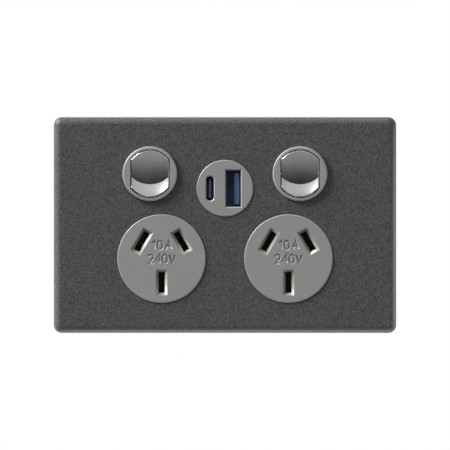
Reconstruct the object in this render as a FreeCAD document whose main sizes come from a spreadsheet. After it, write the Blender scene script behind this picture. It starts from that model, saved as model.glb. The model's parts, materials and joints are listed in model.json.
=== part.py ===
import FreeCAD, Part
import math
import os
import Sketcher

# A double wall socket with two rocker switches and a two-port USB charger.
# Millimetres. The origin lies in the wall plane at the centre of the plate, +Z is up,
# +X is the viewer's right and the front faces -Y. "Out" is the distance from the
# wall plane towards the viewer, so out = -y, and the housing in the wall has out < 0.

V = FreeCAD.Vector
doc = FreeCAD.newDocument("wall_socket")
sheet = doc.addObject("Spreadsheet::Sheet", "sizes")


class Size:
    """A number together with the sheet formula that gives it."""

    def __init__(self, value, formula):
        self.value = float(value)
        self.formula = formula

    def join(self, other, sign, value):
        return Size(value, "(" + self.formula + " " + sign + " " + as_size(other).formula + ")")

    def __add__(self, other):
        return self.join(other, "+", self.value + as_size(other).value)

    def __sub__(self, other):
        return self.join(other, "-", self.value - as_size(other).value)

    def __mul__(self, other):
        return self.join(other, "*", self.value * as_size(other).value)

    def __truediv__(self, other):
        return self.join(other, "/", self.value / as_size(other).value)

    def __neg__(self):
        return self * -1

    __radd__ = __add__
    __rmul__ = __mul__

    def __rsub__(self, other):
        return as_size(other) - self


def as_size(number):
    if isinstance(number, Size):
        return number
    return Size(number, "(%.4f)" % number)


def root(size):
    return Size(math.sqrt(size.value), "sqrt(" + size.formula + ")")


def sine(degrees):
    return Size(math.sin(math.radians(degrees.value)), "sin(" + degrees.formula + ")")


def cosine(degrees):
    return Size(math.cos(math.radians(degrees.value)), "cos(" + degrees.formula + ")")


rows = [0]


def size(name, value, note):
    """Writes one driving dimension on the sheet and returns it."""
    rows[0] += 1
    row = str(rows[0])
    sheet.set("A" + row, name)
    sheet.set("B" + row, str(value))
    sheet.setAlias("B" + row, name)
    sheet.set("C" + row, note)
    return Size(value, "sizes." + name)


# Cover plate
plate_wide = size("plate_wide", 119, "width of the cover plate")
plate_tall = size("plate_tall", 75, "height of the cover plate")
plate_out = size("plate_out", 9, "how far the cover stands off the wall")
plate_corner = size("plate_corner", 2.8, "corner radius of the cover outline")
plate_roll = size("plate_roll", 2.5, "rounding of the front edge")
cover_skin = size("cover_skin", 2.2, "thickness of the cover face")
cover_wall = size("cover_wall", 2, "thickness of the cover side walls")
hole_gap = size("hole_gap", 0.15, "gap round each insert in the cover")
leg_x = size("leg_x", 34, "clip legs, distance from the middle")
leg_wide = size("leg_wide", 8, "width of a clip leg")
leg_thick = size("leg_thick", 1.5, "thickness of a clip leg")
leg_gap = size("leg_gap", 0.2, "gap round a clip leg in its slot")
leg_end = size("leg_end", 0.6, "clip legs stop this far in front of the wall")

# Mounting frame
fit_gap = size("fit_gap", 0.3, "gap between frame and cover walls")
frame_thick = size("frame_thick", 2.6, "thickness of the frame plate")
frame_corner = size("frame_corner", 0.6, "corner radius of the frame plate")
deck_wide = size("deck_wide", 77.2, "width of the raised deck")
deck_tall = size("deck_tall", 57, "height of the raised deck")
deck_out = size("deck_out", 6.3, "front of the raised deck")
deck_skin = size("deck_skin", 1.5, "thickness of the deck")
screw_x = size("screw_x", 42, "wall screw holes, distance from the middle")
screw_hole_r = size("screw_hole_r", 2.1, "radius of a wall screw hole")

# Rear housing
case_wide = size("case_wide", 72, "width of the housing")
case_tall = size("case_tall", 50, "height of the housing")
case_deep = size("case_deep", 26, "depth of the housing behind the wall plane")
case_wall = size("case_wall", 1.6, "thickness of the housing walls")
boss_x = size("boss_x", 33, "case screws, distance from the middle sideways")
boss_z = size("boss_z", 22, "case screws, distance from the middle upwards")
boss_r = size("boss_r", 2.8, "radius of a screw boss")
case_screw_r = size("case_screw_r", 1.1, "radius of a case screw")
case_head_r = size("case_head_r", 1.8, "head radius of a case screw")
case_head_tall = size("case_head_tall", 1.4, "head height of a case screw")
screw_gap = size("screw_gap", 0.1, "gap round a screw in its hole")
post_r = size("post_r", 1.6, "radius of a post under a strip")

# Socket faces and plug pins
socket_x = size("socket_x", 22, "socket faces, distance from the middle")
socket_z = size("socket_z", -11.62, "height of the socket faces")
socket_r = size("socket_r", 15.33, "radius of a socket face")
socket_out = size("socket_out", 9.4, "front of a socket face")
socket_skin = size("socket_skin", 2.2, "thickness of a socket face")
spigot_r = size("spigot_r", 13.8, "radius of the spigot behind a socket face")
spigot_wall = size("spigot_wall", 1.4, "wall of the spigot")
seat_gap = size("seat_gap", 0.1, "gap round a spigot in the deck")
rim_round = size("rim_round", 0.35, "rounding of the insert rims")
pins_up = size("pins_up", 2.03, "centre of the pin pattern above the face centre")
pin_side = size("pin_side", 6.86, "leaning slots, distance from the middle")
pin_up = size("pin_up", 3.96, "leaning slots, height over the pin centre")
pin_down = size("pin_down", 10.31, "earth slot, depth under the pin centre")
pin_lean = size("pin_lean", 30, "lean of the two upper slots in degrees")
slot_long = size("slot_long", 7.15, "length of a slot")
slot_wide = size("slot_wide", 2.15, "width of a slot")
slot_bevel = size("slot_bevel", 0.92, "bevel round a slot")

# Pin clips and strips
strip_thick = size("strip_thick", 0.8, "thickness of the brass strips")
strip_out = size("strip_out", -7.9, "front of the active and neutral strips")
earth_out = size("earth_out", -10.9, "front of the earth strip")
active_out = size("active_out", -11.3, "front of the unswitched active strip")
clip_gap = size("clip_gap", 1.75, "throat between two clip leaves")
clip_leaf = size("clip_leaf", 0.6, "thickness of a clip leaf")
clip_long = size("clip_long", 6, "width of a clip leaf along the slot")
clip_out = size("clip_out", 0.5, "front end of the clip leaves")
neutral_z = size("neutral_z", -13.5, "height of the neutral strip")
neutral_tall = size("neutral_tall", 4, "width of the neutral strip")
earth_tall = size("earth_tall", 5, "width of the earth strip")
riser_wide = size("riser_wide", 3, "width of the strips to the clips")
link_x = size("link_x", 22.4, "switched strips, distance from the middle")
contact_tall = size("contact_tall", 2.6, "width of the strips under the levers")

# Terminals
wire_r = size("wire_r", 2.1, "radius of a wire tunnel")
wire_out = size("wire_out", -16.1, "depth of the wire tunnels")
block_wide = size("block_wide", 7, "width of a terminal block")
block_rear = size("block_rear", -22.1, "rear of the terminal blocks")
clamp_r = size("clamp_r", 1.5, "radius of a clamp screw")
clamp_head_r = size("clamp_head_r", 2.6, "head radius of a clamp screw")
clamp_head_tall = size("clamp_head_tall", 2.4, "head height of a clamp screw")
well_r = size("well_r", 3, "radius of a screwdriver well")
collar_wall = size("collar_wall", 1, "wall of the collar round a well")
line_x = size("line_x", 16, "active and loop terminals, distance from the middle")
neutral_x = size("neutral_x", 26, "neutral terminal, distance from the middle")
entry_gap = size("entry_gap", 0.4, "wire entry, extra radius in the housing")

# Switches
switch_x = size("switch_x", 26, "switches, distance from the middle")
switch_z = size("switch_z", 17.77, "height of the switches")
bezel_r = size("bezel_r", 9.5, "radius of a switch bezel")
bezel_out = size("bezel_out", 10.1, "front of a switch bezel")
bezel_rim = size("bezel_rim", 0.5, "rounding of the bezel rim")
pivot_in = size("pivot_in", 3.15, "rocker pivot behind the bezel front")
rocker_r = size("rocker_r", 8.6, "radius of the rocker about its pivot")
rocker_flat = size("rocker_flat", 6.55, "half width of the rocker")
rocker_face = size("rocker_face", 3.2, "top edge of the rocker face in front of the pivot, pressed in")
rocker_rear = size("rocker_rear", 2.2, "rear edge of the rocker behind the pivot")
crown_r = size("crown_r", 42, "crown of the upper rocker face")
crown_low = size("crown_low", 5, "the crown runs on under the pivot line inside the lower hollow")
dish_r = size("dish_r", 17.5, "radius of the hollow in the lower rocker face")
dish_up = size("dish_up", 1.5, "centre of that hollow above the pivot line")
dish_floor = size("dish_floor", 0.8, "deepest point of that hollow in front of the pivot")
room_front = size("room_front", -0.8, "front of the space inside the rocker, from the pivot")
rocker_wall = size("rocker_wall", 1.7, "side walls of the rocker")
rocker_soft = size("rocker_soft", 0.3, "rounding of the rocker edges")
rocker_tilt = size("rocker_tilt", 15, "tilt of the rocker in degrees")
rocker_air = size("rocker_air", 0.35, "gap between rocker and bezel bowl")
rocker_side = size("rocker_side", 0.25, "gap beside the rocker")
trunnion_r = size("trunnion_r", 1, "radius of the rocker pins")
trunnion_gap = size("trunnion_gap", 0.05, "gap round a rocker pin")
trunnion_end = size("trunnion_end", 8.4, "rocker pins reach this far sideways")
stem_r = size("stem_r", 2.4, "radius of the rocker stem")
stem_bore = size("stem_bore", 1.6, "bore of the rocker stem")
stem_long = size("stem_long", 9.5, "end of the stem behind the pivot")
plunger_r = size("plunger_r", 1.5, "radius of a plunger")
plunger_tip = size("plunger_tip", 12, "tip of the plunger behind the pivot")
plunger_back = size("plunger_back", 5, "rear of the plunger behind the pivot")
plunger_round = size("plunger_round", 1.2, "rounding of the plunger tip")
coil_r = size("coil_r", 1.1, "mean radius of the plunger spring")
coil_wire = size("coil_wire", 0.2, "wire radius of the plunger spring")
coil_turns = size("coil_turns", 5, "turns of the plunger spring")

# Contact levers
lever_out = size("lever_out", -6.05, "pivot line of the levers")
lever_wide = size("lever_wide", 5, "width of a lever")
lever_arm = size("lever_arm", 5.2, "length of a lever arm")
lever_rise = size("lever_rise", 1.1, "rise of a lever arm at its end")
lever_thick = size("lever_thick", 0.8, "thickness of a lever")
lever_tilt = size("lever_tilt", 8, "tilt of the levers in degrees")
lever_gap = size("lever_gap", 0.06, "gap under the lever in its cradle")
rivet_at = size("rivet_at", 4.3, "silver contact, distance from the lever pivot")
rivet_r = size("rivet_r", 1, "radius of a silver contact")
rivet_tall = size("rivet_tall", 0.5, "height of the moving contact")
anvil_tall = size("anvil_tall", 1.4, "height of the fixed contact")
cheek_gap = size("cheek_gap", 0.12, "gap beside the lever in its cradle")
cheek_thick = size("cheek_thick", 0.8, "thickness of the cradle sides")
cheek_tall = size("cheek_tall", 1.5, "height of the cradle sides")
cradle_tall = size("cradle_tall", 3, "width of the cradle upwards")

# USB charger
usb_z = size("usb_z", 12.77, "height of the charger face")
usb_r = size("usb_r", 9.85, "radius of the charger face")
usb_out = size("usb_out", 9.3, "front of the charger face")
usb_skin = size("usb_skin", 1.6, "thickness of the charger face")
usb_rim = size("usb_rim", 1.1, "wall of the charger face rim")
port_z = size("port_z", 12.7, "height of the two ports")
a_x = size("a_x", 2.88, "large port, distance from the middle")
a_wide = size("a_wide", 5.12, "inside width of the large port")
a_tall = size("a_tall", 12.5, "inside height of the large port")
a_long = size("a_long", 14, "length of the large port shell")
c_x = size("c_x", -5.2, "small port, distance from the middle")
c_wide = size("c_wide", 2.56, "inside width of the small port")
c_tall = size("c_tall", 8.34, "inside height of the small port")
c_long = size("c_long", 8, "length of the small port shell")
shell_thick = size("shell_thick", 0.3, "sheet thickness of the port shells")
window_gap = size("window_gap", 0.1, "charger face window, extra all round")
window_bevel = size("window_bevel", 0.3, "bevel round the charger face windows")
tongue_thick = size("tongue_thick", 1.84, "thickness of the large port tongue")
tongue_tall = size("tongue_tall", 11.1, "height of the large port tongue")
tongue_x = size("tongue_x", 4.14, "middle of the large port tongue")
tongue_in = size("tongue_in", 0.8, "tongue tip behind the shell mouth")
strip_proud = size("strip_proud", 0.15, "large port contacts, height over their tongue")
thin_tongue = size("thin_tongue", 0.7, "thickness of the small port tongue")
thin_tongue_tall = size("thin_tongue_tall", 6.69, "height of the small port tongue")
board_x = size("board_x", -1.78, "middle plane of the circuit board")
board_thick = size("board_thick", 1.6, "thickness of the circuit board")
board_low = size("board_low", -9.5, "lower edge of the circuit board")
board_high = size("board_high", 19, "upper edge of the circuit board")
board_front = size("board_front", 4.3, "front edge of the circuit board")
board_rear = size("board_rear", -24.3, "rear edge of the circuit board")
rail_thick = size("rail_thick", 1, "thickness of a board rail")
rail_gap = size("rail_gap", 0.1, "gap between board and rail")
rail_tall = size("rail_tall", 2.2, "height of a board rail")
coil_x = size("coil_x", 5, "middle of the transformer sideways")
coil_z = size("coil_z", 5, "middle of the transformer upwards")
coil_out = size("coil_out", -16, "middle of the transformer in depth")
coil_gap = size("coil_gap", 0.1, "gap between transformer winding and core")
core_deep = size("core_deep", 12, "transformer core from front to rear")
core_tall = size("core_tall", 13, "height of the transformer core")
core_thick = size("core_thick", 6, "thickness of the transformer core")
core_room = size("core_room", 4.4, "winding room, half its depth")
limb_half = size("limb_half", 1.6, "half height of the limb inside the winding")
room_half = size("room_half", 4.6, "half height between the outer limbs")
winding_half = size("winding_half", 4.4, "half height of the winding")
winding_deep = size("winding_deep", 8.6, "winding from front to rear")
winding_end = size("winding_end", 4.8, "winding, from the middle of the core to its outer end")
can_round = size("can_round", 0.4, "rounding of a capacitor's end")
input_can_z = size("input_can_z", -4.4, "height of the input capacitor")
input_can_out = size("input_can_out", -15, "depth of the input capacitor")
input_can_r = size("input_can_r", 4, "radius of the input capacitor")
input_can_tall = size("input_can_tall", 8.4, "length of the input capacitor")
output_can_a_z = size("output_can_a_z", 4.5, "height of the large port's capacitor")
output_can_c_z = size("output_can_c_z", 12.5, "height of the small port's capacitor")
output_can_out = size("output_can_out", -19.5, "depth of the output capacitors")
output_can_r = size("output_can_r", 2.6, "radius of the output capacitors")
output_can_tall = size("output_can_tall", 7, "length of the output capacitors")
chip_side = size("chip_side", 5, "side of a chip")
controller_z = size("controller_z", 3, "height of the controller chip")
controller_out = size("controller_out", -8, "depth of the controller chip")
controller_thick = size("controller_thick", 1.5, "thickness of the controller chip")
rectifier_z = size("rectifier_z", -5.5, "height of the rectifier chip")
rectifier_out = size("rectifier_out", -7, "depth of the rectifier chip")
rectifier_thick = size("rectifier_thick", 1.7, "thickness of the rectifier chip")
resistor_out = size("resistor_out", -19, "depth of the fuse resistor")
resistor_r = size("resistor_r", 1.5, "radius of the fuse resistor")
resistor_cap_r = size("resistor_cap_r", 1.7, "radius of the fuse resistor's end caps")
base_inset = size("base_inset", 0.06, "gap between a tongue's base and its shell")
a_base_long = size("a_base_long", 4, "length of the large tongue's base")
c_base_long = size("c_base_long", 3, "length of the small tongue's base")
base_behind = size("base_behind", 2, "tongue base behind its shell")
foot_long = size("foot_long", 1.9, "length of a tongue's foot on the board")
a_pitch_near = size("a_pitch_near", 1, "large port, inner contacts from the middle")
a_pitch_far = size("a_pitch_far", 3.5, "large port, outer contacts from the middle")
a_strip_half = size("a_strip_half", 0.5, "half width of a large port contact")
c_pitch = size("c_pitch", 0.5, "pitch of the small port contacts")
c_strip_half = size("c_strip_half", 0.12, "half width of a small port contact")
c_strip_proud = size("c_strip_proud", 0.05, "small port contacts, height over their tongue")
blade_round = size("blade_round", 0.3, "rounding of the large tongue's tip")
case_head_sink = size("case_head_sink", 0.3, "case screw heads under the rear face")
driver_slot = size("driver_slot", 0.8, "width of a clamp screw's slot")
case_driver_slot = size("case_driver_slot", 0.5, "width of a case screw's slot")
clamp_sink = size("clamp_sink", 0.4, "clamp screw head in front of its block's rear")
contact_drop = size("contact_drop", 0.3, "middle of the contact strips under the contact line")
cut_over = size("cut_over", 1, "how far a cut runs on past the face that it opens")

doc.recompute()

pivot_out = bezel_out - pivot_in
case_half_x = case_wide / 2 - case_wall
case_half_z = case_tall / 2 - case_wall
case_floor = -case_deep + case_wall
nodes = []

PLANES = {"front": "XZ_Plane", "side": "YZ_Plane", "top": "XY_Plane"}


def tie(thing, path, formula):
    """Binds one property to a sheet formula."""
    thing.setExpression(path, as_size(formula).formula)


def new_body(name, many=False):
    body = doc.addObject("PartDesign::Body", name)
    body.AllowCompound = many
    nodes.append(body)
    return body


def place(thing, x=0, out=0, z=0, axis=V(1, 0, 0), angle=0):
    """Moves a finished piece; every coordinate and the angle follow the sheet."""
    start = V(as_size(x).value, -as_size(out).value, as_size(z).value)
    thing.Placement = FreeCAD.Placement(start, FreeCAD.Rotation(axis, as_size(angle).value))
    tie(thing, "Placement.Base.x", x)
    tie(thing, "Placement.Base.y", -as_size(out))
    tie(thing, "Placement.Base.z", z)
    tie(thing, "Placement.Rotation.Angle", angle)


class Drawing:
    """A sketch whose points, radii, level, position and turn follow the sheet."""

    def __init__(self, body, name, plane="front", level=0, at=(0, 0), turn=None):
        self.sketch = body.newObject("Sketcher::SketchObject", name)
        origin = [part for part in body.Origin.OriginFeatures if part.Role == PLANES[plane]]
        self.sketch.AttachmentSupport = [(origin[0], "")]
        self.sketch.MapMode = "FlatFace"
        tie(self.sketch, "AttachmentOffset.Base.x", at[0])
        tie(self.sketch, "AttachmentOffset.Base.y", at[1])
        tie(self.sketch, "AttachmentOffset.Base.z", level)
        if turn is not None:
            tie(self.sketch, "AttachmentOffset.Rotation.Angle", turn)

    def bind(self, kind, *where):
        """Adds a dimension; the last argument is its formula."""
        formula = as_size(where[-1])
        number = self.sketch.addConstraint(Sketcher.Constraint(kind, *where[:-1], formula.value))
        tie(self.sketch, "Constraints[%d]" % number, formula)

    def fix(self, line, end, point):
        self.bind("DistanceX", -1, 1, line, end, point[0])
        self.bind("DistanceY", -1, 1, line, end, point[1])

    def polygon(self, points):
        """A closed outline with every corner placed by formulas."""
        corners = [V(as_size(x).value, as_size(y).value, 0) for x, y in points]
        first = self.sketch.GeometryCount
        count = len(points)
        for i in range(count):
            self.sketch.addGeometry(Part.LineSegment(corners[i], corners[(i + 1) % count]))
        for i in range(count):
            after = first + (i + 1) % count
            self.sketch.addConstraint(Sketcher.Constraint("Coincident", first + i, 2, after, 1))
            self.fix(first + i, 1, points[i])
        return self

    def box(self, x0, x1, y0, y1):
        return self.polygon([(x0, y0), (x1, y0), (x1, y1), (x0, y1)])

    def middle_box(self, x, y, wide, tall):
        wide = as_size(wide) / 2
        tall = as_size(tall) / 2
        return self.box(x - wide, x + wide, y - tall, y + tall)

    def circle(self, x, y, radius):
        centre = V(as_size(x).value, as_size(y).value, 0)
        shape = Part.Circle(centre, V(0, 0, 1), as_size(radius).value)
        line = self.sketch.addGeometry(shape)
        self.fix(line, 3, (x, y))
        self.bind("Radius", line, radius)
        return self

    def half_disc(self, radius):
        """A half disc on its flat side, to be turned into a ball about that side."""
        r = as_size(radius)
        rv = r.value
        arc = self.sketch.addGeometry(Part.ArcOfCircle(Part.Circle(V(0, 0, 0), V(0, 0, 1), rv), 0, math.pi))
        line = self.sketch.addGeometry(Part.LineSegment(V(-rv, 0, 0), V(rv, 0, 0)))
        self.sketch.addConstraint(Sketcher.Constraint("Coincident", arc, 2, line, 1))
        self.sketch.addConstraint(Sketcher.Constraint("Coincident", line, 2, arc, 1))
        self.fix(line, 1, (-r, 0))
        self.fix(line, 2, (r, 0))
        self.bind("DistanceY", -1, 1, arc, 3, 0)
        return self

    def outside_half_disc(self, radius, reach):
        """What lies outside a half disc, up to a box around it."""
        r = as_size(radius)
        far = as_size(reach)
        rv = r.value
        fv = far.value
        arc = self.sketch.addGeometry(Part.ArcOfCircle(Part.Circle(V(0, 0, 0), V(0, 0, 1), rv), 0, math.pi))
        corners = [(-r, 0), (-far, 0), (-far, far), (far, far), (far, 0), (r, 0)]
        spots = [V(as_size(x).value, as_size(y).value, 0) for x, y in corners]
        before = (arc, 2)
        for i in range(len(spots) - 1):
            line = self.sketch.addGeometry(Part.LineSegment(spots[i], spots[i + 1]))
            self.sketch.addConstraint(Sketcher.Constraint("Coincident", before[0], before[1], line, 1))
            self.fix(line, 1, corners[i])
            before = (line, 2)
        self.sketch.addConstraint(Sketcher.Constraint("Coincident", before[0], before[1], arc, 1))
        self.fix(before[0], 2, corners[-1])
        self.bind("DistanceY", -1, 1, arc, 3, 0)
        return self

    def crowned_block(self, front, rear, top, low, crown):
        """A block seen from the side, whose front is an arc that starts level with the top point."""
        f, b, t, w, c = (as_size(value) for value in (front, rear, top, low, crown))
        drop = t.value - w.value
        low_front = f.value + c.value - math.sqrt(c.value * c.value - drop * drop)
        start = math.pi
        end = math.pi + math.asin(drop / c.value)
        centre = V(f.value + c.value, t.value, 0)
        arc = self.sketch.addGeometry(Part.ArcOfCircle(Part.Circle(centre, V(0, 0, 1), c.value), start, end))
        under = self.sketch.addGeometry(Part.LineSegment(V(low_front, w.value, 0), V(b.value, w.value, 0)))
        back = self.sketch.addGeometry(Part.LineSegment(V(b.value, w.value, 0), V(b.value, t.value, 0)))
        over = self.sketch.addGeometry(Part.LineSegment(V(b.value, t.value, 0), V(f.value, t.value, 0)))
        for one, other, first in ((arc, under, 1), (under, back, 1), (back, over, 1), (over, arc, 1)):
            self.sketch.addConstraint(Sketcher.Constraint("Coincident", one, 2, other, first))
        self.fix(arc, 3, (f + c, t))
        self.fix(over, 2, (f, t))
        self.fix(over, 1, (b, t))
        self.fix(back, 1, (b, w))
        self.bind("DistanceY", -1, 1, under, 1, w)
        return self

    def obround(self, wide, tall):
        """A tall slot with round ends, centred on the drawing."""
        r = as_size(wide) / 2
        s = as_size(tall) / 2 - r
        rv = r.value
        sv = s.value
        up = V(0, sv, 0)
        low = V(0, -sv, 0)
        left = self.sketch.addGeometry(Part.LineSegment(V(-rv, -sv, 0), V(-rv, sv, 0)))
        high_circle = Part.Circle(up, V(0, 0, 1), rv)
        high = self.sketch.addGeometry(Part.ArcOfCircle(high_circle, 0, math.pi))
        right = self.sketch.addGeometry(Part.LineSegment(V(rv, sv, 0), V(rv, -sv, 0)))
        low_circle = Part.Circle(low, V(0, 0, 1), rv)
        foot = self.sketch.addGeometry(Part.ArcOfCircle(low_circle, math.pi, 2 * math.pi))
        for one, end, other, start in ((left, 2, high, 2), (high, 1, right, 1), (right, 2, foot, 2), (foot, 1, left, 1)):
            self.sketch.addConstraint(Sketcher.Constraint("Coincident", one, end, other, start))
        self.fix(left, 1, (-r, -s))
        self.fix(left, 2, (-r, s))
        self.fix(right, 1, (r, s))
        self.fix(right, 2, (r, -s))
        self.bind("DistanceY", -1, 1, high, 3, s)
        self.bind("DistanceY", -1, 1, foot, 3, -s)
        return self


def pad(body, name, drawing, length):
    feature = body.newObject("PartDesign::Pad", name)
    feature.Profile = drawing.sketch
    tie(feature, "Length", length)
    return feature


def pocket(body, name, drawing, length):
    feature = body.newObject("PartDesign::Pocket", name)
    feature.Profile = drawing.sketch
    tie(feature, "Length", length)
    return feature


def ball(body, kind, name, radius, x=0, out=0, z=0):
    """Adds or cuts a ball turned about the front-to-back line, so its poles face that way."""
    drawing = Drawing(body, name + "_outline", "side", level=x, at=(-as_size(out), z)).half_disc(radius)
    feature = body.newObject("PartDesign::" + kind, name)
    feature.Profile = drawing.sketch
    feature.ReferenceAxis = (drawing.sketch, ["H_Axis"])
    feature.Angle = 360
    return feature


def dress(body, kind, name, test, amount):
    """Rounds or bevels the edges of the body picked by a test on each edge."""
    doc.recompute()
    base = body.Tip
    picked = []
    for i, edge in enumerate(base.Shape.Edges):
        if test(edge):
            picked.append("Edge%d" % (i + 1))
    if not picked:
        raise ValueError("no edge picked for " + name)
    feature = body.newObject("PartDesign::" + kind, name)
    feature.Base = (base, picked)
    if kind == "Fillet":
        tie(feature, "Radius", amount)
    else:
        tie(feature, "Size", amount)
    return feature


def middle(edge):
    """Middle of an edge as x, out and z."""
    point = edge.valueAt((edge.FirstParameter + edge.LastParameter) / 2)
    return point.x, -point.y, point.z


def near(a, b, gap=0.01):
    return abs(a - as_size(b).value) < gap


def runs_along_y(edge):
    if not isinstance(edge.Curve, Part.Line):
        return False
    return abs(abs(edge.Curve.Direction.y) - 1) < 1e-6


def is_flat_at(edge, out):
    """True for an edge that lies wholly at one distance from the wall."""
    ends = [-edge.valueAt(edge.FirstParameter).y, -edge.valueAt(edge.LastParameter).y]
    ends.append(middle(edge)[1])
    return all(near(level, out) for level in ends)


def far_from(edge, x, z):
    mx, mo, mz = middle(edge)
    return math.hypot(mx - as_size(x).value, mz - as_size(z).value)


SIDES = (("left", -1), ("right", 1))


def insert_centres():
    """Centre, radius and name of each round insert that shows through the cover."""
    found = [("usb", as_size(0), usb_z, usb_r)]
    for side, sign in SIDES:
        found.append(("socket_" + side, sign * socket_x, socket_z, socket_r))
        found.append(("switch_" + side, sign * switch_x, switch_z, bezel_r))
    return found


def pin_places(side_sign):
    """Name, x, z and lean of the three pin slots of one socket."""
    cx = side_sign * socket_x
    cz = socket_z + pins_up
    return (
        ("active", cx - pin_side, cz + pin_up, -pin_lean),
        ("neutral", cx + pin_side, cz + pin_up, pin_lean),
        ("earth", cx, cz - pin_down, as_size(0)),
    )


# Cover plate: a shallow tray with five round openings and four straight clip legs
cover = new_body("cover_plate")
pad(cover, "cover_block", Drawing(cover, "cover_outline").middle_box(0, 0, plate_wide, plate_tall), plate_out)
dress(cover, "Fillet", "cover_corners", runs_along_y, plate_corner)
dress(cover, "Fillet", "cover_front_roll", lambda e: is_flat_at(e, plate_out), plate_roll)
hollow = Drawing(cover, "cover_hollow_outline", level=plate_out - cover_skin)
hollow.middle_box(0, 0, plate_wide - 2 * cover_wall, plate_tall - 2 * cover_wall)
pocket(cover, "cover_hollow", hollow, plate_out)
openings = Drawing(cover, "cover_openings", level=plate_out + 1)
for name, x, z, r in insert_centres():
    openings.circle(x, z, r + hole_gap)
pocket(cover, "cover_holes", openings, cover_skin + 2)
legs = Drawing(cover, "leg_outlines", level=leg_end)
for sx in (-1, 1):
    for sz in (-1, 1):
        edge_z = sz * (plate_tall / 2 - cover_wall - fit_gap - leg_gap - leg_thick)
        legs.middle_box(sx * leg_x, edge_z, leg_wide, leg_thick)
pad(cover, "clip_legs", legs, plate_out - cover_skin / 2 - leg_end)

# Mounting frame: the flat plate screwed to the wall with a raised deck for the inserts
frame = new_body("mounting_frame")
inner_wide = plate_wide - 2 * cover_wall - 2 * fit_gap
inner_tall = plate_tall - 2 * cover_wall - 2 * fit_gap
pad(frame, "frame_sheet", Drawing(frame, "frame_outline").middle_box(0, 0, inner_wide, inner_tall), frame_thick)
dress(frame, "Fillet", "frame_corners", runs_along_y, frame_corner)
deck = Drawing(frame, "deck_outline").middle_box(0, 0, deck_wide, deck_tall)
pad(frame, "deck_block", deck, deck_out)
dress(frame, "Fillet", "deck_corners", lambda e: runs_along_y(e) and middle(e)[1] > frame_thick.value, 1.5 * deck_skin)
well = Drawing(frame, "window_outline", level=deck_out - deck_skin)
well.middle_box(0, 0, 2 * case_half_x, 2 * case_half_z)
pocket(frame, "rear_window", well, deck_out)
seats = Drawing(frame, "socket_seats", level=deck_out + 1)
for side, sign in SIDES:
    seats.circle(sign * socket_x, socket_z, spigot_r + seat_gap)
seats.circle(0, usb_z, usb_r - usb_rim + seat_gap)
pocket(frame, "socket_seat_holes", seats, deck_skin + 1.5)
seats = Drawing(frame, "switch_seats", level=deck_out + 1)
for side, sign in SIDES:
    seats.circle(sign * switch_x, switch_z, bezel_r + seat_gap)
pocket(frame, "switch_seat_holes", seats, deck_out + 1 - frame_thick)
lugs = Drawing(frame, "screw_lugs")
for sx in (-1, 1):
    for sz in (-1, 1):
        lugs.circle(sx * boss_x, sz * boss_z, boss_r)
pad(frame, "screw_lug_pads", lugs, frame_thick)
holes = Drawing(frame, "frame_holes", level=frame_thick + 1)
for sx in (-1, 1):
    holes.circle(sx * screw_x, 0, screw_hole_r)
    for sz in (-1, 1):
        edge_z = sz * (plate_tall / 2 - cover_wall - fit_gap - leg_gap - leg_thick)
        holes.middle_box(sx * leg_x, edge_z, leg_wide + 2 * leg_gap, leg_thick + 2 * leg_gap)
        holes.circle(sx * boss_x, sz * boss_z, case_screw_r + screw_gap / 2)
pocket(frame, "frame_cuts", holes, frame_thick + 2)

# Terminal places: name, x, z of the block, sign of the wall the wire comes through
top_block_z = case_half_z - 0.3 - block_wide / 2
terminals = (
    ("active", -line_x, top_block_z, 1, active_out - strip_thick),
    ("loop", line_x, top_block_z, 1, active_out - strip_thick - 1),
    ("neutral", neutral_x, neutral_z, -1, strip_out - strip_thick - 3.8),
    ("earth", as_size(0), -top_block_z, -1, earth_out - strip_thick),
)

# Rear housing: the box in the wall, open to the front
case = new_body("rear_housing")
pad(case, "case_block", Drawing(case, "case_outline", level=-case_deep).middle_box(0, 0, case_wide, case_tall), case_deep)
dress(case, "Fillet", "case_corners", runs_along_y, case_wall)
room = Drawing(case, "case_room").middle_box(0, 0, 2 * case_half_x, 2 * case_half_z)
pocket(case, "case_hollow", room, case_deep - case_wall)
bosses = Drawing(case, "boss_outlines", level=case_floor - case_wall / 2)
for sx in (-1, 1):
    for sz in (-1, 1):
        bosses.circle(sx * boss_x, sz * boss_z, boss_r)
pad(case, "bosses", bosses, case_deep - case_wall / 2)
collars = Drawing(case, "collar_outlines", level=case_floor - case_wall / 2)
for name, x, z, way, front in terminals:
    collars.circle(x, z, well_r + collar_wall)
pad(case, "collars", collars, block_rear - case_floor + case_wall / 2)


def posts(name, places, top):
    """Round posts that stand on the housing floor and carry a strip."""
    drawing = Drawing(case, name + "_outlines", level=case_floor - case_wall / 2)
    for x, z in places:
        drawing.circle(x, z, post_r)
    pad(case, name, drawing, top - case_floor + case_wall / 2)


earth_z = socket_z + pins_up - pin_down
contact_z = switch_z + rivet_at
posts("neutral_posts", ((-8, neutral_z), (12, neutral_z)), strip_out - strip_thick)
posts("earth_posts", ((-socket_x, earth_z), (socket_x, earth_z)), earth_out - strip_thick)
posts("link_posts", ((-link_x, 6), (link_x, 6)), strip_out - strip_thick)
posts("active_posts", ((-switch_x, contact_z - 0.8), (switch_x, contact_z - 0.8)), active_out - strip_thick)
rails = Drawing(case, "rail_outlines", level=case_floor - case_wall / 2)
rail_near = board_thick / 2 + rail_gap
for sign in (-1, 1):
    for low, high in ((board_low, board_low + 6), (board_high - 6, board_high)):
        inner = board_x + sign * rail_near
        outer = board_x + sign * (rail_near + rail_thick)
        if sign < 0:
            rails.box(outer, inner, low, high)
        else:
            rails.box(inner, outer, low, high)
pad(case, "board_rails", rails, rail_tall + case_wall / 2)
bores = Drawing(case, "screw_wells", level=block_rear + 1)
for name, x, z, way, front in terminals:
    bores.circle(x, z, well_r)
pocket(case, "wells", bores, case_deep)
bores = Drawing(case, "case_screw_bores", level=1)
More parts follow.
